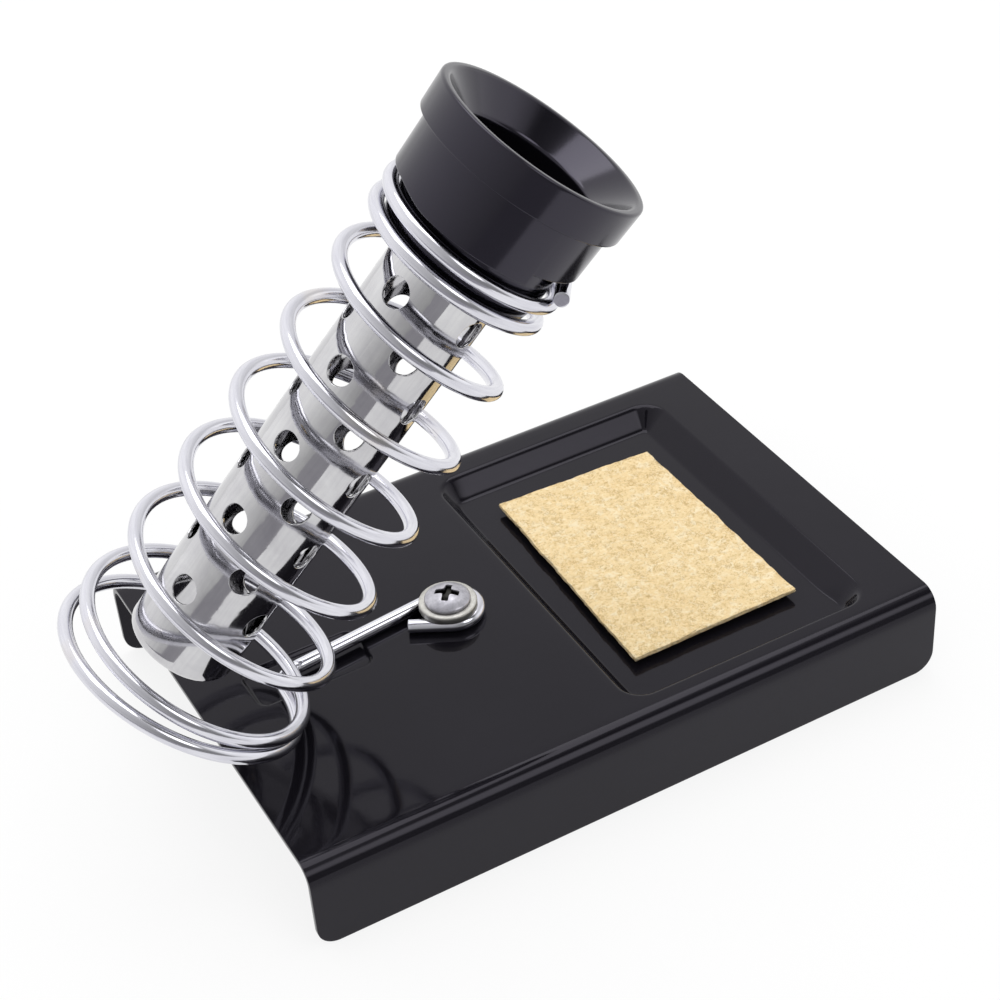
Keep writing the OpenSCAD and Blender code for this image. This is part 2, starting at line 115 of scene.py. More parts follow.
def surface(name, *grids, merge=True, flip=False, smooth=True, grain=None):
    """Mesh piece from grids of points, each an array (..., m, n, 3). Neighbours along m and n make a
    face whose front is the m direction crossed with the n direction, or its back where flip is true.
    Points that meet are merged, so seams and poles close. A grain, one vector to a point, is kept as an
    attribute for the material."""
    points, faces, first = [], [], 0
    for grid in grids:
        m, n = grid.shape[-3:-1]
        corner = np.arange(grid.size // 3).reshape(-1, m, n) + first
        quads = [corner[:, :-1, :-1], corner[:, 1:, :-1], corner[:, 1:, 1:], corner[:, :-1, 1:]]
        faces.append(np.stack(quads[::-1] if flip else quads, -1).reshape(-1, 4))
        points.append(grid.reshape(-1, 3))
        first += grid.size // 3
    mesh = bpy.data.meshes.new(name)
    mesh.from_pydata(np.concatenate(points).tolist(), [], np.concatenate(faces).tolist())
    if grain is not None:
        mesh.attributes.new("grain", "FLOAT_VECTOR", "POINT").data.foreach_set("vector", grain.ravel())
    if merge:
        welded = bmesh.new()
        welded.from_mesh(mesh)
        bmesh.ops.remove_doubles(welded, verts=welded.verts, dist=2e-6)
        welded.to_mesh(mesh)
        welded.free()
    mesh.shade_smooth() if smooth else mesh.shade_flat()
    piece = bpy.data.objects.new(name, mesh)
    bpy.context.scene.collection.objects.link(piece)
    return piece


def finish_of(name):
    """New material with its nodes, its links and its shader."""
    material = bpy.data.materials.new(name)
    material.use_nodes = True
    nodes, links = material.node_tree.nodes, material.node_tree.links
    return material, nodes, links, nodes["Principled BSDF"]


def node_with(nodes, kind, **inputs):
    """New node of a kind, with its inputs set by name; names have _ for a space."""
    made = nodes.new(kind)
    for key, value in inputs.items():
        made.inputs[key.replace("_", " ")].default_value = value
    return made


def spread(nodes, links, source, low, high):
    """A noise value of 0.3 to 0.7 spread to the range from low to high."""
    ranged = node_with(nodes, "ShaderNodeMapRange", From_Min=0.3, From_Max=0.7, To_Min=low, To_Max=high)
    links.new(source, ranged.inputs["Value"])
    return ranged.outputs["Result"]


def colour_mix(nodes, links, share, first, second, blend="MIX"):
    """Colour between two by a share, or blended by it. Each of the two is a colour or a node's output."""
    mixed = nodes.new("ShaderNodeMix")
    mixed.data_type = "RGBA"
    mixed.blend_type = blend
    links.new(share, mixed.inputs["Factor"])
    for side, colour in (("A", first), ("B", second)):
        if isinstance(colour, tuple):
            mixed.inputs[side].default_value = colour
        else:
            links.new(colour, mixed.inputs[side])
    return mixed.outputs["Result"]


def roughen(nodes, links, shader, height, strength, distance):
    """Bump on a shader from a height."""
    bump = node_with(nodes, "ShaderNodeBump", Strength=strength, Distance=distance)
    links.new(height, bump.inputs["Height"])
    links.new(bump.outputs["Normal"], shader.inputs["Normal"])


def plate_points():
    """Outer face of the sheet on a grid of x and of the way across it: up the front flange, round the
    bend, over the top, where the pressings lower it, and down again. Near the ends the flanges' lower
    edges rise on a quarter circle. Grid lines lie closer where the pressings' walls are. The tray's walls
    are steep at its front and left and easier at its back and right."""
    turn = np.linspace(0, np.pi / 2, 13)
    flange_z = lines((0, 0.0012, 0.0003), (0.0012, plate_top - bend_radius, 0.0012))
    flat = plate_side - bend_radius
    tray_y = tray_middle[1] + tray_half[1]
    top_y = lines((-flat, flat, 0.0016), (-0.0391, -0.0351, 0.0002),
                  (tray_y - 0.006, tray_y + 0.0009, 0.00025),
                  (-0.0045, -0.0008, 0.00025), (0.0035, 0.0075, 0.00025))
    front_y = np.concatenate([np.full(len(flange_z) - 1, -plate_side), -flat - bend_radius * np.cos(turn)])
    front_z = np.concatenate([flange_z[:-1], plate_top - bend_radius + bend_radius * np.sin(turn)])
    across_y = np.concatenate([front_y, top_y[1:-1], -front_y[::-1]])
    across_z = np.concatenate([front_z, np.full(len(top_y) - 2, plate_top), front_z[::-1]])
    near_end = plate_end - flange_corner + flange_corner * np.sin(np.linspace(0, np.pi / 2, 12))
    along = np.unique(np.round(np.concatenate([
        -near_end, near_end,
        lines((-plate_end + 0.004, plate_end - 0.004, 0.002),
              (0.0013, 0.0053, 0.0002), (0.0478, 0.0543, 0.00025),
              (recess_middle[0] - 0.0128, recess_middle[0] - 0.0088, 0.00025),
              (recess_middle[0] + 0.0088, recess_middle[0] + 0.0128, 0.00025))]), 7))
    x, y = np.meshgrid(along, across_y, indexing="ij")
    z = np.broadcast_to(across_z, x.shape).copy()
    past = np.clip(np.abs(x) - (plate_end - flange_corner), 0, flange_corner)
    lift = flange_corner - np.sqrt(flange_corner ** 2 - past ** 2)
    z += lift * np.clip(1 - z / (plate_top - bend_radius), 0, 1)
    on_top = np.abs(y) < flat + 1e-9
    tray = inside_distance(x, y, tray_middle, tray_half, tray_corner)
    recess = inside_distance(x, y, recess_middle, recess_half, recess_corner)
    far = ease(0.5 + 4 * ((x - tray_middle[0]) / tray_half[0] + (y - tray_middle[1]) / tray_half[1]))
    tray_wall = tray_near_wall + (tray_far_wall - tray_near_wall) * far
    z -= on_top * tray_depth * soft_ramp(tray, tray_wall, tray_softness)
    z -= on_top * recess_depth * soft_ramp(recess, recess_wall, press_softness / 2)
    return np.stack([x, y, z], -1)


def gloss_enamel():
    """Thick dipped enamel: near black, with faint orange peel, haze and the odd speck of dust."""
    material, nodes, links, shader = finish_of("gloss_enamel")
    place = nodes.new("ShaderNodeTexCoord").outputs["Object"]
    haze = node_with(nodes, "ShaderNodeTexNoise", Scale=28, Detail=4, Roughness=0.6)
    peel = node_with(nodes, "ShaderNodeTexNoise", Scale=420, Detail=2, Roughness=0.5)
    dust = node_with(nodes, "ShaderNodeTexNoise", Scale=2600, Detail=2, Roughness=0.5)
    for noise in (haze, peel, dust):
        links.new(place, noise.inputs["Vector"])
    tone = colour_mix(nodes, links, spread(nodes, links, haze.outputs["Fac"], 0, 1),
                      enamel_black, enamel_haze)
    links.new(tone, shader.inputs["Base Color"])
    links.new(spread(nodes, links, haze.outputs["Fac"], 0.05, 0.12), shader.inputs["Roughness"])
    shader.inputs["Specular IOR Level"].default_value = 0.25
    shader.inputs["Specular Tint"].default_value = enamel_sheen
    grain = nodes.new("ShaderNodeMath")
    grain.operation = "MULTIPLY_ADD"
    links.new(dust.outputs["Fac"], grain.inputs[0])
    grain.inputs[1].default_value = 0.12
    links.new(peel.outputs["Fac"], grain.inputs[2])
    roughen(nodes, links, shader, grain.outputs["Value"], 0.12, 0.00006)
    return material


# The recess lies under the arm, which leaves the screw at a slight slant.
top_washer_low, top_washer_high = (np.array(corner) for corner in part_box("top_washer"))
screw_middle = (top_washer_low + top_washer_high)[:2] / 2
arm_slant = math.radians(186.3)
arm_way = np.array([math.cos(arm_slant), math.sin(arm_slant), 0])
eye_radius = 0.0047
eye_middle = screw_middle + np.array([0.00112, 0.0003])
eye_leave = np.append(eye_middle + eye_radius * np.array([-arm_way[1], arm_way[0]]) * -1, 0)
recess_middle = (eye_leave + 0.0291 * arm_way)[:2]

base = surface("base_plate_enamelled", plate_points())
wall = base.modifiers.new("sheet", "SOLIDIFY")
wall.thickness = sheet_thickness
wall.offset = -1
wall.use_even_offset = True
rounded = base.modifiers.new("paint_edge", "BEVEL")
rounded.width = paint_edge
rounded.segments = 2
rounded.limit_method = "ANGLE"
rounded.angle_limit = math.radians(60)
base.data.materials.append(gloss_enamel())
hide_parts("base_plate")
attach(base, "base")


# ---- Holder wire ------------------------------------------------------------------------------------
# One length of plated spring wire. Its eye is clamped under the screw, its arm runs straight to the
# base's left end, and it is wound from there into nine left-hand turns: two close and wide ones at the
# foot, six open ones that taper, and close ones that grip the cup's neck. Both its ends are cut square.

wire_radius = 0.0013
wire_height = plate_top + 0.00005 + wire_radius
eye_wrap = math.radians(216)
tail_length = 0.0081
bend_length = 0.0053

coil_turns = 9.16
coil_rise = 0.01785
foot_radius, waist_radius, neck_radius = 0.02228, 0.01587, 0.0144
foot_pitch, open_pitch_low, open_pitch_high, neck_pitch = 0.0042, 0.0155, 0.014, 0.00405
open_turn, close_turn, open_blend, close_blend, taper_turns = 1.14, 6.7, 0.7, 0.84, 7.07
foot_off_right, foot_off_front = 0.00091, 0.00434
start_tuck, start_lift = 0.00075, 0.00035
coil_gap = 0.0003
end_settle, settle_turns, straight_turns = 0.001305, 0.55, 0.068
plating_bright = (0.75, 0.75, 0.8, 1)
plating_shade = (0.72, 0.71, 0.76, 1)
# Warm tint painted on the wire as a reflection.
plating_warm_reflection = (0.80, 0.70, 0.52, 1)

throat = next(m for m in frame["record"]["mounts"] if m["name"] == "iron_throat")
own_z = np.array(throat["axis"])
own_x = np.cross([0, 1, 0], own_z) / np.linalg.norm(np.cross([0, 1, 0], own_z))
own_y = np.cross(own_z, own_x)
foot = np.array(throat["pos_m"]) + (plate_top - throat["pos_m"][2]) / own_z[2] * own_z


def on_holder(right, back, up):
    """Points given on the holder's own axes, from its foot, put in the stand's place."""
    return foot + right[..., None] * own_x + back[..., None] * own_y + up[..., None] * own_z


def eased_sum(x):
    """Area under the smooth step from 0 to x: x^3 - x^4 / 2 up to 1, then x - 1/2."""
    c = np.clip(x, 0, 1)
    return c ** 3 - c ** 4 / 2 + np.maximum(x - 1, 0)


def coil_height(u):
    """Height of the wire after u turns. The pitch is the foot's, eases to the open one at the open turn,
    drifts evenly to the last open one, and eases to the neck's at the close turn; height is its area. The
    cut end settles towards the turn below it by a parabola."""
    span = close_turn - open_turn
    v = np.maximum(u - open_turn, 0)
    drift = np.minimum(v, span) ** 2 / (2 * span) + np.maximum(v - span, 0)
    return (coil_rise + wire_radius + foot_pitch * u
            + (open_pitch_low - foot_pitch) * open_blend * eased_sum((u - open_turn) / open_blend)
            + (open_pitch_high - open_pitch_low) * drift
            + (neck_pitch - open_pitch_high) * close_blend * eased_sum((u - close_turn) / close_blend)
            - end_settle * np.maximum(0, 1 + (u - coil_turns) / settle_turns) ** 2)


def coil_points(u):
    """Middle of the wire after u turns: a circle whose radius tapers from the foot to the waist and eases
    to the neck's, whose middle drifts onto the axis, and which is tilted a little at the foot and neck. The
    first third of a turn is tucked in and lifted clear of the plate. The last stretch is straight, so its
    distance is the radius over the cosine of the turn it has left."""
    at_neck = ease((u - close_turn) / close_blend)
    at_foot = 1 - ease(u / 1.5)
    at_start = 1 - ease(3 * u)
    tapered = np.clip((u - 0.5) / (taper_turns - 0.5), 0, 1)
    wound_radius = (foot_radius + (waist_radius - foot_radius) * tapered
                    + (neck_radius + coil_gap + wire_radius - waist_radius) * at_neck
                    - start_tuck * at_start)
    wound_radius = wound_radius / np.cos(2 * np.pi * np.maximum(0, u - coil_turns + straight_turns))
    right, front = wound_radius * np.cos(2 * np.pi * u), wound_radius * np.sin(2 * np.pi * u)

    def slope(foot_tilt, neck_tilt, open_tilt=1.7):
        tilts = np.tan(np.radians([foot_tilt, neck_tilt, open_tilt]))
        return tilts[2] + (tilts[0] - tilts[2]) * at_foot + (tilts[1] - tilts[2]) * at_neck

    off_axis = 1 - np.clip(u / taper_turns, 0, 1)
    up = coil_height(u) + start_lift * at_start + right * slope(4.2, 0.6) + front * slope(6.1, -1)
    return on_holder(right + foot_off_right * off_axis, -front - foot_off_front * off_axis, up)


def wire_along(name, route, sides=24):
    """Round wire along a route of points: ring j at point i stands at route[i] plus the wire's radius
    times cos a across and sin a over, both square to the route. Each end is a flat face with a small
    rounded rim, made by a ring that shrinks to a point."""
    way = np.gradient(route, axis=0)
    way /= np.linalg.norm(way, axis=1, keepdims=True)
    shrink = np.array([0, 0.5, 0.94, 0.985, 1])
    inset = np.array([0, 0, 0, 0.015, 0.06]) * wire_radius
    start = route[0] + inset[:, None] * way[0]
    end = (route[-1] - inset[:, None] * way[-1])[::-1]
    route = np.concatenate([start, route[1:-1], end])
    way = np.concatenate([np.repeat(way[:1], 5, 0), way[1:-1], np.repeat(way[-1:], 5, 0)])
    wide = np.concatenate([shrink, np.ones(len(route) - 10), shrink[::-1]]) * wire_radius
    across = own_z - (way @ own_z)[:, None] * way
    across /= np.linalg.norm(across, axis=1, keepdims=True)
    over = np.cross(way, across)
    a = np.linspace(0, 2 * np.pi, sides + 1)[None, :, None]
    rings = route[:, None] + wide[:, None, None] * (np.cos(a) * across[:, None] + np.sin(a) * over[:, None])
    step = np.linalg.norm(np.diff(route, axis=0), axis=1)
    drawn = np.concatenate([[0], np.cumsum(step)])[:, None, None] + 0 * a
    grain = np.concatenate([drawn, wire_radius * np.cos(a) + 0 * drawn,
                            wire_radius * np.sin(a) + 0 * drawn], -1)
    return surface(name, rings, flip=True, grain=grain)


def bright_plating():
    """Nickel-plated drawn wire: bright, with lengthwise drawing marks, which are noise on the wire's own
    grain squeezed along it, and a painted warm reflection in random places."""
    material, nodes, links, shader = finish_of("bright_plating")
    shader.inputs["Metallic"].default_value = 1
    place = nodes.new("ShaderNodeTexCoord").outputs["Object"]
    cast = node_with(nodes, "ShaderNodeTexNoise", Scale=45, Detail=3, Roughness=0.55)
    links.new(place, cast.inputs["Vector"])
    grain = nodes.new("ShaderNodeAttribute")
    grain.attribute_name = "grain"
    squeezed = nodes.new("ShaderNodeMapping")
    squeezed.inputs["Scale"].default_value = (0.07, 1, 1)
    links.new(grain.outputs["Vector"], squeezed.inputs["Vector"])
    marks = node_with(nodes, "ShaderNodeTexNoise", Scale=2200, Detail=3, Roughness=0.6)
    links.new(squeezed.outputs["Vector"], marks.inputs["Vector"])
    # Painted reflection: where a coarse noise is high, the plating's colour turns warm.
    warm = node_with(nodes, "ShaderNodeMapRange", From_Min=0.62, From_Max=0.78, To_Min=0, To_Max=0.5)
    links.new(cast.outputs["Fac"], warm.inputs["Value"])
    tone = colour_mix(nodes, links, warm.outputs["Result"], plating_bright, plating_warm_reflection)
    drawn = colour_mix(nodes, links, spread(nodes, links, marks.outputs["Fac"], 0, 0.5),
                       tone, plating_shade, "MULTIPLY")
    links.new(drawn, shader.inputs["Base Color"])
    links.new(spread(nodes, links, marks.outputs["Fac"], 0.08, 0.2), shader.inputs["Roughness"])
    roughen(nodes, links, shader, marks.outputs["Fac"], 0.05, 0.00003)
    return material


def eye_point(a):
    """Point of the eye's middle line at angle a round its middle."""
    return np.stack([eye_middle[0] + eye_radius * np.cos(a), eye_middle[1] + eye_radius * np.sin(a),
                     np.full_like(a, wire_height)], -1)


eye_end = arm_slant - math.pi / 2
eye_turn = np.linspace(eye_end - eye_wrap, eye_end, 61)
tail_way = np.array([-math.sin(eye_turn[0]), math.cos(eye_turn[0]), 0])
tail = eye_point(eye_turn[:1]) + np.linspace(-tail_length, 0, 12)[:-1, None] * tail_way
coil = coil_points(np.linspace(0, coil_turns, 880))
arm_start = eye_point(eye_turn[-1:])[0]
arm_length = (coil[0] - arm_start) @ arm_way - bend_length
arm = arm_start + np.linspace(0, arm_length, 30)[1:, None] * arm_way
coil_way = (coil[1] - coil[0]) / np.linalg.norm(coil[1] - coil[0])
t = np.linspace(0, 1, 14)[1:-1, None]
bend = ((1 - t) ** 3 * arm[-1] + 3 * t * (1 - t) ** 2 * (arm[-1] + bend_length / 2 * arm_way)
        + 3 * t ** 2 * (1 - t) * (coil[0] - bend_length / 2 * coil_way) + t ** 3 * coil[0])

plating = bright_plating()
wire_arm = wire_along("wire_eye_and_arm", np.concatenate([tail, eye_point(eye_turn), arm]))
wire_coil = wire_along("wire_coil", np.concatenate([arm[-1:], bend, coil]))
for piece in (wire_arm, wire_coil):
    piece.data.materials.append(plating)
    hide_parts("coil_wire")
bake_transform(wire_arm)
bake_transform(wire_coil)


# ---- Cup --------------------------------------------------------------------------------------------
# Moulded black plastic. Its neck is screwed into the coil's close turns until the skirt stops on them,
# and a notch in the skirt's lower edge clears the wire's end. The mouth has a band round it, and a
# funnel leads the iron into the throat.

last_turn = (coil_points(np.linspace(coil_turns - 1, coil_turns, 41)) - foot) @ own_z
cup_seat = last_turn.max() + wire_radius + coil_gap / 2
skirt_radius, skirt_length = 0.0172, 0.0095
band_radius, band_height = 0.0189, 0.0064
cup_draft = 0.0002
lip_width, funnel_depth = 0.0014, 0.0049
throat_radius = throat["dims"]["r_mm"] / 1000
neck_length, cup_floor_thickness = 0.00945, 0.003
neck_lead_in, neck_lead_length = 0.0006, 0.0026
notch_height, notch_arc, notch_past_wire = 0.0009, 56, 22
skirt_drop, skirt_drop_arc, drop_run = 0.0011, 97, math.radians(34)
tube_radius, tube_wall, tube_flange = 0.0099, 0.0005, 0.0114
tube_gap = 0.00005
cup_black = (0.0035, 0.0032, 0.0048, 1)
cup_cloud = (0.0045, 0.0042, 0.006, 1)
cup_sheen = (0.84, 0.79, 1, 1)
cup_band = cup_seat + skirt_length
cup_mouth = cup_band + band_height
cup_bottom = cup_seat - neck_length
cup_floor = cup_bottom + cup_floor_thickness


def rounded_outline(corners, steps=5):
    """Closed outline through corners (r, z, rounding): each corner becomes a curve
    (1-t)^2 before + 2t(1-t) corner + t^2 after between points that lie the rounding before and after it,
    with one more point beyond each so that the flats stay flat. Gives the points and each one's corner."""
    spots = np.array([c[:2] for c in corners])
    reach = np.array([c[2] for c in corners])[:, None]
    before = np.roll(spots, 1, 0) - spots
    after = np.roll(spots, -1, 0) - spots
    before /= np.linalg.norm(before, axis=1, keepdims=True)
    after /= np.linalg.norm(after, axis=1, keepdims=True)
    t = np.linspace(0, 1, steps)[None, :, None]
    curve = ((1 - t) ** 2 * (spots + reach * before)[:, None] + 2 * t * (1 - t) * spots[:, None]
             + t ** 2 * (spots + reach * after)[:, None])
    guard_in, guard_out = (spots + 1.3 * reach * before)[:, None], (spots + 1.3 * reach * after)[:, None]
    rows = np.concatenate([guard_in, curve, guard_out], 1)
    return rows.reshape(-1, 2), np.repeat(np.arange(len(corners)), steps + 2)


def face_outwards(piece):
    """Turns every face of a closed piece outwards."""
    mesh = bmesh.new()
    mesh.from_mesh(piece.data)
    bmesh.ops.recalc_face_normals(mesh, faces=mesh.faces)
    mesh.to_mesh(piece.data)
    mesh.free()


def turned(name, outline, angles, raise_rows=None):
    """Closed outline (r, z) carried round the holder's axis: point (i, j) is r_i cos a_j, r_i sin a_j, z_i,
    plus raise_rows (i, j) along the axis."""
    r, z = np.concatenate([outline, outline[:1]]).T
    up = z[:, None] + np.zeros(len(angles))
    if raise_rows is not None:
        up += np.concatenate([raise_rows, raise_rows[:1]])
    piece = surface(name, on_holder(r[:, None] * np.cos(angles), r[:, None] * np.sin(angles), up))
    face_outwards(piece)
    return piece


def moulded_plastic():
    """Semi-gloss moulding: black with a cool cast, fine grain and slightly uneven gloss."""
    material, nodes, links, shader = finish_of("moulded_plastic")
    place = nodes.new("ShaderNodeTexCoord").outputs["Object"]
    cloud = node_with(nodes, "ShaderNodeTexNoise", Scale=60, Detail=3, Roughness=0.5)
    grain = node_with(nodes, "ShaderNodeTexNoise", Scale=1800, Detail=2, Roughness=0.6)
    for noise in (cloud, grain):
        links.new(place, noise.inputs["Vector"])
    tone = colour_mix(nodes, links, spread(nodes, links, cloud.outputs["Fac"], 0, 1), cup_black, cup_cloud)
    links.new(tone, shader.inputs["Base Color"])
    links.new(spread(nodes, links, cloud.outputs["Fac"], 0.12, 0.18), shader.inputs["Roughness"])
    shader.inputs["Specular IOR Level"].default_value = 0.64
    shader.inputs["Specular Tint"].default_value = cup_sheen
    roughen(nodes, links, shader, grain.outputs["Fac"], 0.1, 0.00003)
    return material


cup_corners = [(tube_radius + tube_gap, cup_bottom, 0.0003),
               (neck_radius - neck_lead_in, cup_bottom, 0.0005),
               (neck_radius, cup_bottom + neck_lead_length, 0.0008), (neck_radius, cup_seat, 0.0003),
               (skirt_radius - cup_draft, cup_seat, 0.00025),
               (skirt_radius, cup_band, 0.00015), (band_radius - cup_draft, cup_band, 0.0002),
               (band_radius, cup_mouth, 0.0005), (band_radius - lip_width, cup_mouth, 0.0004),
               (throat_radius, cup_mouth - funnel_depth, 0.0005), (throat_radius, cup_floor, 0.0004),
               (tube_flange + tube_gap, cup_floor, 0.0001),
               (tube_flange + tube_gap, cup_floor - tube_wall - tube_gap, 0.0001),
               (tube_radius + tube_gap, cup_floor - tube_wall - tube_gap, 0.0001)]
cup_outline, cup_corner = rounded_outline(cup_corners)
notch_last = math.radians(notch_past_wire - 360 * coil_turns)
notch_first = notch_last - math.radians(notch_arc)
# The skirt's edge is lower from low_first to the notch, and falls to there over drop_run.
low_first = notch_first - math.radians(skirt_drop_arc)
step_edge = math.radians(0.8)
cup_turn = np.unique(np.concatenate([
    np.linspace(notch_first, low_first + 2 * np.pi, 140),
    np.linspace(low_first, notch_first, 50) + 2 * np.pi,
    notch_first + step_edge * np.linspace(0, 1, 4), notch_last + step_edge * np.linspace(-1, 0, 4),
    low_first + 2 * np.pi + drop_run * np.linspace(0, 1, 16),
    notch_first + 2 * np.pi + step_edge * np.linspace(-1, 0, 4)]))
cup_turn = cup_turn[(cup_turn >= notch_first) & (cup_turn <= notch_first + 2 * np.pi)]
edge_rise = (notch_height * ease((cup_turn - notch_first) / step_edge)
             * ease((notch_last - cup_turn) / step_edge))
edge_fall = skirt_drop * (ease((cup_turn - low_first - 2 * np.pi) / drop_run)
                          + 1 - ease((cup_turn - notch_first) / step_edge))
lifted = np.isin(cup_corner, [3, 4])[:, None] * (edge_rise - edge_fall)[None, :]
cup = turned("cup_moulded", cup_outline, cup_turn, lifted)
cup.data.materials.append(moulded_plastic())
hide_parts("holder_cup")
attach(cup, "holder")


# ---- Heat tube --------------------------------------------------------------------------------------
# Thin plated steel tube, punched with rings of vent holes that are offset by half a step from ring to
# ring. Its top is flared into a flange that sits in the cup's floor, and its lower rim is rolled in.

tube_length = 0.0848
tube_end = cup_bottom - tube_length
rim_roll = 0.0024
vent_radius = 0.0026
vent_rings, vent_pitch, first_vent = 9, 0.008, 0.0146
vent_turn = math.radians(68.3)
vent_columns = 8
tube_bright = (0.66, 0.66, 0.665, 1)
tube_dull = (0.55, 0.545, 0.56, 1)
tube_streak = (0.80, 0.79, 0.83, 1)


def round_tube(turn, up, radius=tube_radius):
    """Point at an angle and height on the tube's outer face."""
    return on_holder(radius * np.cos(turn), radius * np.sin(turn), up)


def vent_cells():
    """The punched stretch, as cells of one hole's share each. In a cell, ring t of directions a is
    (1-t) times the hole's circle plus t times the cell's rectangle, where the rectangle's point is the
    direction over its larger part. The cells between holes have a circle of no size."""
    a = np.linspace(0, 2 * np.pi, 33)
    t = np.array([0, 0.04, 0.12, 0.3, 0.6, 1])[:, None]
    half_turn = np.pi / vent_columns
    larger = np.maximum(np.abs(np.cos(a)), np.abs(np.sin(a)))
    ring, column = np.meshgrid(np.arange(vent_rings), np.arange(vent_columns), indexing="ij")
    hole = np.where((ring + column) % 2 == 0, vent_radius, 0)[..., None, None]
    turn = (1 - t) * hole / tube_radius * np.cos(a) + t * half_turn * np.cos(a) / larger
    rise = (1 - t) * hole * np.sin(a) + t * vent_pitch / 2 * np.sin(a) / larger
    middle_turn = (-vent_turn + 2 * half_turn * column)[..., None, None]
    middle_rise = (tube_end + first_vent + vent_pitch * ring)[..., None, None]
    return round_tube(middle_turn + turn, middle_rise + rise)


def plain_band(radii, heights):
    """Unpunched stretch: the outline (radius, height) carried round the axis, with points at the angles
    where the cells' corners and edges have theirs."""
    half_turn = np.pi / vent_columns
    step = half_turn * np.tan(np.radians(np.linspace(-45, 45, 9)))
    turn = np.unique(np.round(-vent_turn + 2 * half_turn * np.arange(vent_columns + 1)[:, None] + step, 9))
    turn = turn[turn <= turn[0] + 2 * np.pi + 1e-6]
    return round_tube(turn[:, None], heights[None, :], radii[None, :])


def streaked_tube():
    """Bright plated sheet with fine lengthwise streaks, a few dull smears and light scratches."""
    material, nodes, links, shader = finish_of("streaked_tube")
    shader.inputs["Metallic"].default_value = 1
    place = nodes.new("ShaderNodeTexCoord").outputs["Object"]
    along = nodes.new("ShaderNodeMapping")
    along.vector_type = "TEXTURE"
    along.inputs["Rotation"].default_value = (math.radians(9.58), math.radians(38.46), 0)
    along.inputs["Scale"].default_value = (1, 1, 14)
    links.new(place, along.inputs["Vector"])
    streaks = node_with(nodes, "ShaderNodeTexNoise", Scale=1400, Detail=3, Roughness=0.6)
    links.new(along.outputs["Vector"], streaks.inputs["Vector"])
    smears = node_with(nodes, "ShaderNodeTexNoise", Scale=110, Detail=4, Roughness=0.6, Distortion=0.6)
    links.new(place, smears.inputs["Vector"])
    tone = colour_mix(nodes, links, spread(nodes, links, smears.outputs["Fac"], 0, 1),
                      tube_bright, tube_dull)
    drawn = colour_mix(nodes, links, spread(nodes, links, streaks.outputs["Fac"], 0, 0.45),
                       tone, tube_streak, "MULTIPLY")
    links.new(drawn, shader.inputs["Base Color"])
    links.new(spread(nodes, links, smears.outputs["Fac"], 0.04, 0.11), shader.inputs["Roughness"])
    roughen(nodes, links, shader, streaks.outputs["Fac"], 0.06, 0.00003)
    return material


roll_turn = np.linspace(0, np.pi / 2, 9)
roll_radii = tube_radius - rim_roll + rim_roll * np.sin(roll_turn)
roll_heights = tube_end + rim_roll - rim_roll * np.cos(roll_turn)
lower_radii = np.append(roll_radii, [tube_radius] * 4)
vents_low = tube_end + first_vent - vent_pitch / 2
lower_heights = np.append(roll_heights, np.linspace(roll_heights[-1] + 0.0003, vents_low, 4))
vents_high = vents_low + vent_rings * vent_pitch
flare_radius = 0.0004
flare_turn = np.linspace(0, np.pi / 2, 5)
flare_height = cup_floor - tube_wall
upper_heights = np.concatenate([np.linspace(vents_high, flare_height - 0.0006, 3)[:-1],
                                flare_height - flare_radius * (1 - np.sin(flare_turn)), [flare_height]])
upper_radii = np.concatenate([[tube_radius] * 2, tube_radius + flare_radius * (1 - np.cos(flare_turn)),
                              [tube_flange]])
tube = surface("heat_tube_plated", vent_cells(), plain_band(lower_radii, lower_heights),
               plain_band(upper_radii, upper_heights))
tube_sheet = tube.modifiers.new("wall", "SOLIDIFY")
tube_sheet.thickness = tube_wall
tube_sheet.offset = -1
tube.data.materials.append(streaked_tube())
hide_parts("heat_tube")
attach(tube, "holder")


# ---- Clamp screw and its washer ---------------------------------------------------------------------
# Zinc-plated steel. The screw has a domed head with a cross recess and passes through a plain washer,
# the wire's eye and the base, into a nut below.

screw_low, screw_high = (np.array(corner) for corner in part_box("clamp_screw"))
head_radius = (screw_high[0] - screw_low[0]) / 2
head_height = screw_high[2] - top_washer_high[2]
shank_radius = 0.002
cross_turn = math.radians(50)
cross_reach, cross_width, cross_depth, cross_edge = 0.00215, 0.00056, 0.0017, 0.00018
zinc_bright = (0.62, 0.61, 0.66, 1)
zinc_dull = (0.36, 0.355, 0.39, 1)
zinc_warm = (0.60, 0.59, 0.56, 1)
zinc_warm_dull = (0.46, 0.45, 0.42, 1)
# Near black painted into the screw's cross recess as its shade.
zinc_recess_shade = (0.03, 0.03, 0.028, 1)


def cross_sink(x, y):
    """Depth of the recess: each arm is a smooth step from its edge inwards, wider towards the middle, and
    its floor falls from the arm's tip to the middle."""
    def arm_share(u, v):
        half_width = cross_width * (1 + 0.5 * ease(1 - np.abs(u) / (0.6 * cross_reach)))
        in_width = ease((half_width - np.abs(v)) / cross_edge + 0.5)
        return in_width * ease((cross_reach - np.abs(u)) / (2 * cross_edge) + 0.5)
    u = x * math.cos(cross_turn) + y * math.sin(cross_turn)
    v = y * math.cos(cross_turn) - x * math.sin(cross_turn)
    fall = 1 - 0.45 * np.clip(np.hypot(x, y) / cross_reach, 0, 1)
    return cross_depth * fall * np.maximum(arm_share(u, v), arm_share(v, u))


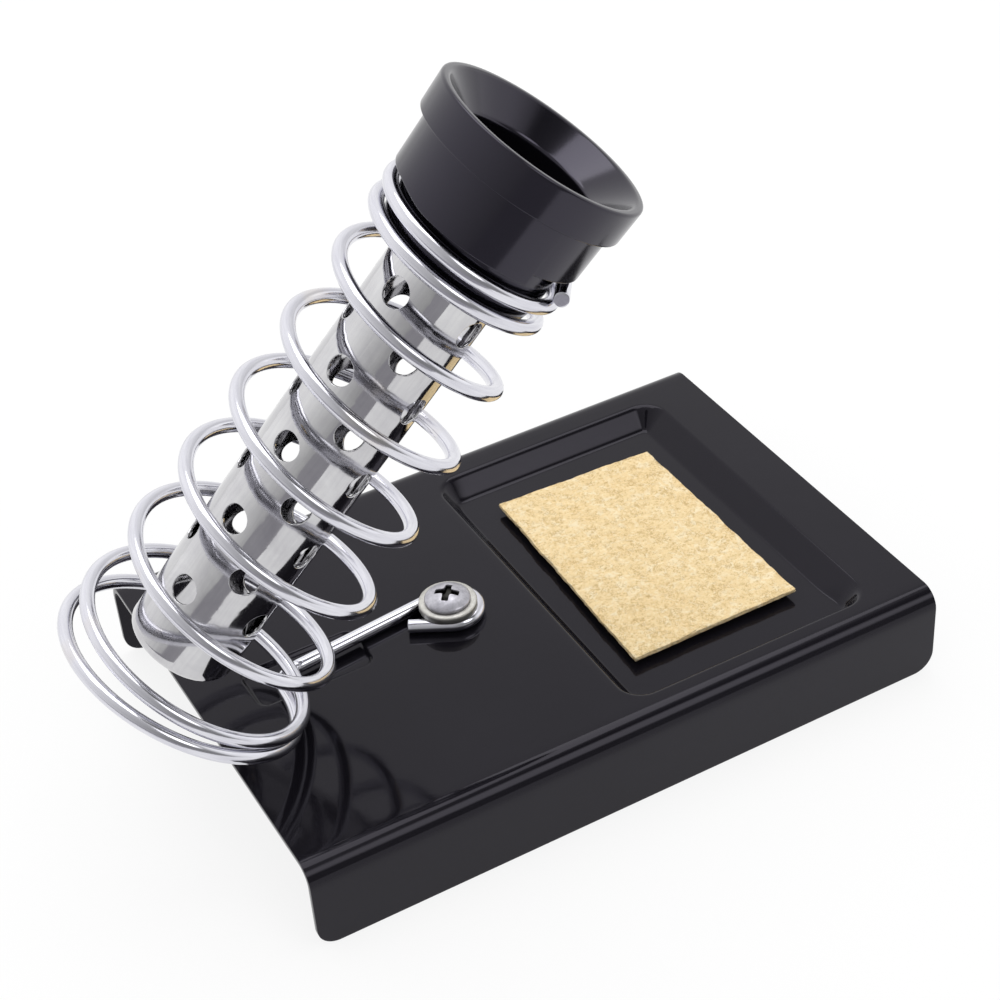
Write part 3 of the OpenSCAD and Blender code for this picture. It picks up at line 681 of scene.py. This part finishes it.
def screw_points():
    """Turned screw: rings from the head's crown, where the height is the dome's circle less the recess,
    over the rounded rim, in under the head, and down the shank to its chamfered end."""
    rim_height = 0.3 * head_height
    crown = head_height - rim_height
    ball = (head_radius ** 2 + crown ** 2) / (2 * crown)
    r_top = np.concatenate([np.linspace(0, 0.0031, 70), np.linspace(0.0032, head_radius - 0.0002, 14)])
    z_top = rim_height + crown - ball + np.sqrt(ball ** 2 - r_top ** 2)
    r_low = np.array([head_radius - 0.00005, head_radius, head_radius, head_radius - 0.0001,
                      head_radius - 0.0004, shank_radius, shank_radius])
    z_low = np.array([rim_height, rim_height - 0.0002, 0.0003, 0.00006, 0, 0, -0.0003])
    end = screw_low[2] - top_washer_high[2]
    r_end = np.array([shank_radius, shank_radius - 0.0005, 0])
    z_end = np.array([end + 0.0005, end, end])
    r = np.concatenate([r_top, r_low, r_end])[:, None]
    z = np.concatenate([z_top, z_low, z_end])[:, None]
    a = np.linspace(0, 2 * np.pi, 241)
    x, y = r * np.cos(a), r * np.sin(a)
    z = z - cross_sink(x, y) * (np.arange(len(r)) < len(r_top))[:, None]
    return np.stack([screw_middle[0] + x, screw_middle[1] + y, top_washer_high[2] + z], -1)


def zinc_plating(name, bright, dull, smoothest, roughest):
    """Barrel-plated zinc: soft grey, with fine pits and dull clouds from tumbling. Where the mesh has a
    point attribute for it, painted shade darkens the colour towards near black, as in the screw's cross
    recess."""
    material, nodes, links, shader = finish_of(name)
    shader.inputs["Metallic"].default_value = 1
    place = nodes.new("ShaderNodeTexCoord").outputs["Object"]
    cloud = node_with(nodes, "ShaderNodeTexNoise", Scale=700, Detail=5, Roughness=0.7)
    pits = node_with(nodes, "ShaderNodeTexNoise", Scale=2600, Detail=2, Roughness=0.6)
    for noise in (cloud, pits):
        links.new(place, noise.inputs["Vector"])
    tone = colour_mix(nodes, links, spread(nodes, links, cloud.outputs["Fac"], 0, 1), bright, dull)
    hollow = nodes.new("ShaderNodeAttribute")
    hollow.attribute_name = "hollow"
    # Painted shade: the recess attribute mixes the colour towards near black.
    recess_shaded_tone = colour_mix(nodes, links, hollow.outputs["Fac"], tone, zinc_recess_shade)
    links.new(recess_shaded_tone, shader.inputs["Base Color"])
    links.new(spread(nodes, links, cloud.outputs["Fac"], smoothest, roughest), shader.inputs["Roughness"])
    roughen(nodes, links, shader, pits.outputs["Fac"], 0.2, 0.00004)
    return material


def washer_points(low, high, hole):
    """Stamped washer: a closed outline, rounded on its upper edge and sharp below, carried round."""
    outer, z0, z1 = (high[0] - low[0]) / 2, low[2], high[2]
    r = np.array([hole, outer - 0.0001, outer, outer, outer - 0.00008, outer - 0.0003,
                  hole + 0.0002, hole, hole])
    z = np.array([z0, z0, z0 + 0.0001, z1 - 0.0003, z1 - 0.00008, z1, z1, z1 - 0.0002, z0])
    a = np.linspace(0, 2 * np.pi, 129)
    middle = (low + high) / 2
    return np.stack([middle[0] + r[:, None] * np.cos(a), middle[1] + r[:, None] * np.sin(a),
                     z[:, None] + 0 * a], -1)


screw_zinc = zinc_plating("screw_zinc", zinc_bright, zinc_dull, 0.34, 0.5)
washer_zinc = zinc_plating("washer_zinc", zinc_warm, zinc_warm_dull, 0.42, 0.56)
screw = surface("clamp_screw_head", screw_points())
spots = np.empty(len(screw.data.vertices) * 3)
screw.data.vertices.foreach_get("co", spots)
sunk = cross_sink(spots[0::3] - screw_middle[0], spots[1::3] - screw_middle[1])
sunk = sunk * (spots[2::3] > top_washer_high[2])
# Painted shade: the deeper a point lies in the cross recess, the darker its colour is painted.
hollow = screw.data.attributes.new("hollow", "FLOAT", "POINT")
hollow.data.foreach_set("value", ease(sunk / 0.0006).astype(np.float32))
washer = surface("washer_under_head",
                 washer_points(top_washer_low, top_washer_high, shank_radius + 0.0002), flip=True)
for piece, node, zinc in ((screw, "clamp_screw", screw_zinc), (washer, "top_washer", washer_zinc)):
    piece.data.materials.append(zinc)
    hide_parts(node)
    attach(piece, "base")


# ---- Nut and washers below --------------------------------------------------------------------------
# The same zinc-plated hardware under the sheet: plain washer, split spring washer and hexagon nut.

for name in ("under_washer", "spring_washer", "hex_nut"):
    hardware = frame["nodes"][name]
    hardware.data.materials.clear()
    hardware.data.materials.append(washer_zinc)


# ---- Sponge -----------------------------------------------------------------------------------------
# Dry cellulose, pressed flat and cut to size. Its face is a mat of short fibres with shallow pits, and
# its cut edges are ragged.

sponge_low, sponge_high = (np.array(corner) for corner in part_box("sponge"))
sponge_size = np.array([0.0345, 0.0525])
sponge_turn = math.radians(-1.3)
sponge_thickness = sponge_high[2] - sponge_low[2]
sponge_skew = ((-0.0005, -0.0004), (0.0002, 0.0004), (-0.0002, -0.0005), (0.0005, 0.0004))
sponge_edge = 0.0002
sponge_curl, sponge_curl_reach = 0.0012, 0.005
fibre_mid = (0.86, 0.67, 0.38, 1)
fibre_pale = (0.92, 0.79, 0.55, 1)
fibre_warm = (0.82, 0.61, 0.32, 1)
fibre_deep = (0.58, 0.40, 0.17, 1)


def lumps(x, y, size, seed):
    """Smooth random field from 0 to 1: a table of random values, one to each square of the given size,
    blended between the four nearest with smooth steps."""
    table = np.random.default_rng(seed).random((97, 97))
    gx, gy = x / size + 40.37, y / size + 40.71
    ix, iy = np.floor(gx).astype(int), np.floor(gy).astype(int)
    fx, fy = ease(gx - ix), ease(gy - iy)
    value = [table[(ix + i) % 97, (iy + j) % 97] for i, j in ((0, 0), (1, 0), (0, 1), (1, 1))]
    return (value[0] * (1 - fx) + value[1] * fx) * (1 - fy) + (value[2] * (1 - fx) + value[3] * fx) * fy


def sponge_grids():
    """Slab as five strips of rings and two faces. Its outline wavers by smooth random fields, its edges
    are rounded, and its top has pits where a fine field is high and swells with a coarse one."""
    half = sponge_size / 2 - 0.0001
    nx, ny = 110, 160
    gx, gy = np.meshgrid(np.linspace(-1, 1, nx), np.linspace(-1, 1, ny), indexing="ij")
    level = np.linspace(0, 1, 9)[None, :]
    side = np.concatenate([np.stack([gx[:, 0], gy[:, 0]], -1), np.stack([gx[-1, 1:], gy[-1, 1:]], -1),
                           np.stack([gx[-2::-1, -1], gy[-2::-1, -1]], -1),
                           np.stack([gx[0, -2::-1], gy[0, -2::-1]], -1)])

    def shaped(px, py, h):
        weights = [(1 + i * px) * (1 + j * py) / 4 for i, j in ((1, 1), (-1, 1), (-1, -1), (1, -1))]
        skew_x, skew_y = (sum(w * off[k] for w, off in zip(weights, sponge_skew)) for k in (0, 1))
        x, y = px * half[0], py * half[1]
        z = (h - 0.5) * sponge_thickness
        edge = np.maximum(np.abs(px), np.abs(py))
        waver = ((lumps(x + 0.3 * z, y, 0.004, 5) - 0.5) * 0.0003
                 + (lumps(x, y + 0.7 * z, 0.0011, 6) - 0.5) * 0.00016)
        ragged = (lumps((x + y) * 0.7 + 0.02, z * 1.6, 0.0006, 7) - 0.5) * 0.0003 * (1 - np.abs(2 * h - 1))
        pull = sponge_edge * (1 - np.sqrt(np.clip(1 - np.abs(2 * h - 1) ** 6, 0, 1)))
        on_side = ease((edge - 0.97) / 0.03)
        out_x, out_y = np.sign(px) * (np.abs(px) >= 0.999), np.sign(py) * (np.abs(py) >= 0.999)
        x = x + (waver + ragged - pull) * out_x + waver * on_side * (1 - np.abs(out_x)) * 0.3
        y = y + (waver + ragged - pull) * out_y + waver * on_side * (1 - np.abs(out_y)) * 0.3
        near_edge = np.clip(np.minimum(half[0] - np.abs(x), half[1] - np.abs(y)), 0, 1)
        drop = 0.00012 * (1 - ease(near_edge / 0.0007))
        curl = sponge_curl * np.clip(1 - near_edge / sponge_curl_reach, 0, 1) ** 1.5
        fine = lumps(x + 0.4 * y, y * 1.4, 0.0008, 11) * 0.6 + lumps(x, y, 0.0016, 12) * 0.4
        pits = 0.00018 * ease((fine - 0.52) / 0.2)
        swell = 0.00016 * (lumps(x, y, 0.006, 13) - 0.5)
        top = (h > 0.99)
        z = z + top * (swell - pits - drop) - 0.00008 * top + (1 - h) * curl
        c, s = math.cos(sponge_turn), math.sin(sponge_turn)
        middle = (sponge_low + sponge_high) / 2
        x, y = x + skew_x, y + skew_y
        return np.stack([middle[0] + c * x - s * y, middle[1] + s * x + c * y, middle[2] + z], -1)

    top = shaped(gx, gy, np.ones_like(gx))
    bottom = shaped(gx, gy, np.zeros_like(gx))[:, ::-1]
    around = shaped(side[:, :1] + 0 * level, side[:, 1:] + 0 * level, level + 0 * side[:, :1])
    return top, bottom, around


def pressed_cellulose():
    """Pale tan mat of short curled fibres. The curls are thin lines where a twisted noise crosses its
    middle value, broken up by a second noise; between them are pale flecks, tan dots and warm blotches."""
    material, nodes, links, shader = finish_of("pressed_cellulose")
    shader.inputs["Roughness"].default_value = 0.95
    shader.inputs["Specular IOR Level"].default_value = 0.2
    place = nodes.new("ShaderNodeTexCoord").outputs["Object"]

    def noise_of(scale, detail, roughness, twist=0):
        texture = node_with(nodes, "ShaderNodeTexNoise", Scale=scale, Detail=detail, Roughness=roughness,
                            Distortion=twist)
        links.new(place, texture.inputs["Vector"])
        return texture.outputs["Fac"]

    def sum_of(operation, first, second):
        joined = nodes.new("ShaderNodeMath")
        joined.operation = operation
        for socket, value in zip(joined.inputs, (first, second)):
            if isinstance(value, (int, float)):
                socket.default_value = value
            else:
                links.new(value, socket)
        return joined.outputs["Value"]

    def ramp(value, start, end, low, high):
        graded = node_with(nodes, "ShaderNodeMapRange", From_Min=start, From_Max=end,
                           To_Min=low, To_Max=high)
        graded.interpolation_type = "SMOOTHSTEP"
        links.new(value, graded.inputs["Value"])
        return graded.outputs["Result"]

    curls = [sum_of("ABSOLUTE", sum_of("SUBTRACT", noise_of(scale, 1, 0.4, twist), 0.5), 0)
             for scale, twist in ((620, 1.6), (880, 1.2))]
    gaps = noise_of(430, 2, 0.5)
    lines = sum_of("MULTIPLY", ramp(sum_of("MINIMUM", *curls), 0.008, 0.034, 1, 0),
                   ramp(gaps, 0.44, 0.56, 0, 1))
    fine = noise_of(1900, 3, 0.7)
    blotch = noise_of(150, 3, 0.55)
    dots = ramp(noise_of(1150, 1, 0.5), 0.62, 0.74, 0, 0.5)
    tone = fibre_mid
    for colour, share in ((fibre_pale, ramp(noise_of(620, 2, 0.6, 0.8), 0.5, 0.66, 0, 0.85)),
                          (fibre_warm, ramp(blotch, 0.46, 0.66, 0, 0.45)), (fibre_deep, dots),
                          (fibre_deep, sum_of("MULTIPLY", lines, 0.7)),
                          (fibre_pale, ramp(fine, 0.54, 0.7, 0, 0.75)),
                          (fibre_deep, ramp(fine, 0.48, 0.3, 0, 0.65))):
        tone = colour_mix(nodes, links, share, tone, colour)
    links.new(tone, shader.inputs["Base Color"])
    relief = sum_of("ADD", sum_of("MULTIPLY", lines, -0.7), fine)
    roughen(nodes, links, shader, relief, 0.35, 0.0002)
    return material


sponge = surface("sponge_pressed", *sponge_grids())
face_outwards(sponge)
sponge.data.materials.append(pressed_cellulose())
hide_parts("sponge")
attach(sponge, "loose_sponge")


# ---- Floor, light and camera ------------------------------------------------------------------------
# A plain white table under soft light: a large lamp above the back right and a pale sky, brightest at the
# back. The shade over the table's front left is painted: a faintly glowing dark sheet that only mirrored
# rays see.

floor_material, floor_nodes, floor_links, floor_shader = finish_of("pale_table")
floor_shader.inputs["Base Color"].default_value = (0.93, 0.93, 0.93, 1)
floor_shader.inputs["Roughness"].default_value = 0.9
floor_shader.inputs["Specular IOR Level"].default_value = 0.1
white = node_with(floor_nodes, "ShaderNodeEmission", Color=(1, 1, 1, 1), Strength=1)
ray = floor_nodes.new("ShaderNodeLightPath")
seen = floor_nodes.new("ShaderNodeMath")
seen.operation = "MAXIMUM"
floor_links.new(ray.outputs["Is Camera Ray"], seen.inputs[0])
mirrored = floor_nodes.new("ShaderNodeMath")
mirrored.operation = "MAXIMUM"
floor_links.new(ray.outputs["Is Glossy Ray"], mirrored.inputs[0])
floor_links.new(ray.outputs["Is Transmission Ray"], mirrored.inputs[1])
floor_links.new(mirrored.outputs["Value"], seen.inputs[1])
share = floor_nodes.new("ShaderNodeMath")
share.operation = "MULTIPLY"
floor_links.new(seen.outputs["Value"], share.inputs[0])
share.inputs[1].default_value = 0.85
paler = floor_nodes.new("ShaderNodeMixShader")
floor_links.new(share.outputs["Value"], paler.inputs["Fac"])
floor_links.new(floor_shader.outputs["BSDF"], paler.inputs[1])
floor_links.new(white.outputs["Emission"], paler.inputs[2])
floor_links.new(paler.outputs["Shader"], floor_nodes["Material Output"].inputs["Surface"])
floor_x, floor_y = np.meshgrid(np.linspace(-3, 3, 3), np.linspace(-3, 3, 3), indexing="ij")
floor = surface("table_top", np.stack([floor_x, floor_y, np.full_like(floor_x, -0.0001)], -1))
floor.data.materials.append(floor_material)

# Painted shade: a dark sheet over the table's front left, glowing faintly, which only mirrored rays meet.
card_material, *_, card_shader = finish_of("painted_shade_card")
card_shader.inputs["Base Color"].default_value = (0, 0, 0, 1)
card_shader.inputs["Specular IOR Level"].default_value = 0
# Painted shade: the sheet's faint glow sets how dark the shade looks in reflections.
card_shader.inputs["Emission Color"].default_value = (0.95, 0.93, 1, 1)
card_shader.inputs["Emission Strength"].default_value = 0.37
card_near = np.array([[-3, 1.0], [-0.175, -0.12], [-0.133, -0.163], [-0.123, -0.206],
                      [-0.115, -0.264], [-0.09, -0.33], [0.5, -3]])
card_far = np.array([[-3, 1.0], [-3, -1], [-3, -2], [-3, -3], [-3, -3.1], [-2, -3.1], [0, -3.1]])
card_rows = np.stack([card_near, card_far])
card = surface("painted_shade_card", np.concatenate([card_rows, np.full_like(card_rows[..., :1], 0.0001)], -1))
card.data.materials.append(card_material)
card.visible_camera = False
card.visible_diffuse = False
card.visible_transmission = False
card.visible_shadow = False

world = bpy.data.worlds.new("studio")
bpy.context.scene.world = world
world.use_nodes = True
sky_nodes, sky_links = world.node_tree.nodes, world.node_tree.links
way = sky_nodes.new("ShaderNodeTexCoord")
toward_bright = sky_nodes.new("ShaderNodeVectorMath")
toward_bright.operation = "DOT_PRODUCT"
toward_bright.inputs[1].default_value = (-0.25, 0.933, 0.259)
sky_links.new(way.outputs["Generated"], toward_bright.inputs[0])
sky_level = node_with(sky_nodes, "ShaderNodeMapRange", From_Min=-0.8, From_Max=0.9,
                      To_Min=0.26, To_Max=1.12)
sky_links.new(toward_bright.outputs["Value"], sky_level.inputs["Value"])
level = sky_level.outputs["Result"]
# Each patch of sky is paler or darker by its change towards its middle: (middle, edge, full, change),
# where edge and full are the cosines at which it starts and is whole.
for middle, edge, full, change in (((0.956, -0.256, 0.139), 0.8, 0.98, 0.65),
                                   ((0.493, -0.32, 0.809), 0.955, 0.99, -0.44),
                                   ((0.354, -0.666, 0.656), 0.95, 0.992, 2.3)):
    toward = sky_nodes.new("ShaderNodeVectorMath")
    toward.operation = "DOT_PRODUCT"
    toward.inputs[1].default_value = middle
    sky_links.new(way.outputs["Generated"], toward.inputs[0])
    patch = node_with(sky_nodes, "ShaderNodeMapRange", From_Min=edge, From_Max=full,
                      To_Min=0, To_Max=change)
    patch.interpolation_type = "SMOOTHSTEP"
    sky_links.new(toward.outputs["Value"], patch.inputs["Value"])
    summed = sky_nodes.new("ShaderNodeMath")
    summed.operation = "ADD"
    sky_links.new(level, summed.inputs[0])
    sky_links.new(patch.outputs["Result"], summed.inputs[1])
    level = summed.outputs["Value"]
sky_seen = node_with(sky_nodes, "ShaderNodeMix", B=1)
sky_links.new(sky_nodes.new("ShaderNodeLightPath").outputs["Is Camera Ray"], sky_seen.inputs["Factor"])
sky_links.new(level, sky_seen.inputs["A"])
sky_links.new(sky_seen.outputs["Result"], sky_nodes["Background"].inputs["Strength"])
sky_nodes["Background"].inputs["Color"].default_value = (1, 1, 1, 1)


def area_lamp(name, place, aim, size, power):
    """Square lamp at a place, turned to shine at its aim."""
    lamp = bpy.data.lights.new(name, "AREA")
    lamp.size = size
    lamp.energy = power
    holder = bpy.data.objects.new(name, lamp)
    bpy.context.scene.collection.objects.link(holder)
    holder.location = place
    way = np.array(aim) - np.array(place)
    holder.rotation_mode = "QUATERNION"
    holder.rotation_quaternion = Vector(way).to_track_quat("-Z", "Y")
    return holder


area_lamp("key", (0.23, 0.27, 1.38), (0, 0, 0.05), 1.05, 7.2)

camera_turn, camera_rise, camera_roll = math.radians(-26.44), math.radians(37.83), math.radians(-4.56)
camera_aim = np.array([0.02098, 0.04549, 0])
camera_distance = 0.45992
backward = np.array([math.cos(camera_rise) * math.sin(camera_turn),
                     -math.cos(camera_rise) * math.cos(camera_turn), math.sin(camera_rise)])
level_right = np.cross(-backward, [0, 0, 1])
level_right /= np.linalg.norm(level_right)
level_up = np.cross(level_right, -backward)
camera_right = level_right * math.cos(camera_roll) + level_up * math.sin(camera_roll)
camera_up = level_up * math.cos(camera_roll) - level_right * math.sin(camera_roll)
camera_data = bpy.data.cameras.new("camera")
camera_data.sensor_width = 36
camera_data.lens = 78.6
camera_data.clip_start = 0.01
camera = bpy.data.objects.new("camera", camera_data)
bpy.context.scene.collection.objects.link(camera)
placing = np.eye(4)
placing[:3, 0], placing[:3, 1], placing[:3, 2] = camera_right, camera_up, backward
placing[:3, 3] = camera_aim + camera_distance * backward
camera.matrix_world = Matrix(placing.tolist())
bpy.context.scene.camera = camera
bpy.context.scene.view_settings.view_transform = "Standard"
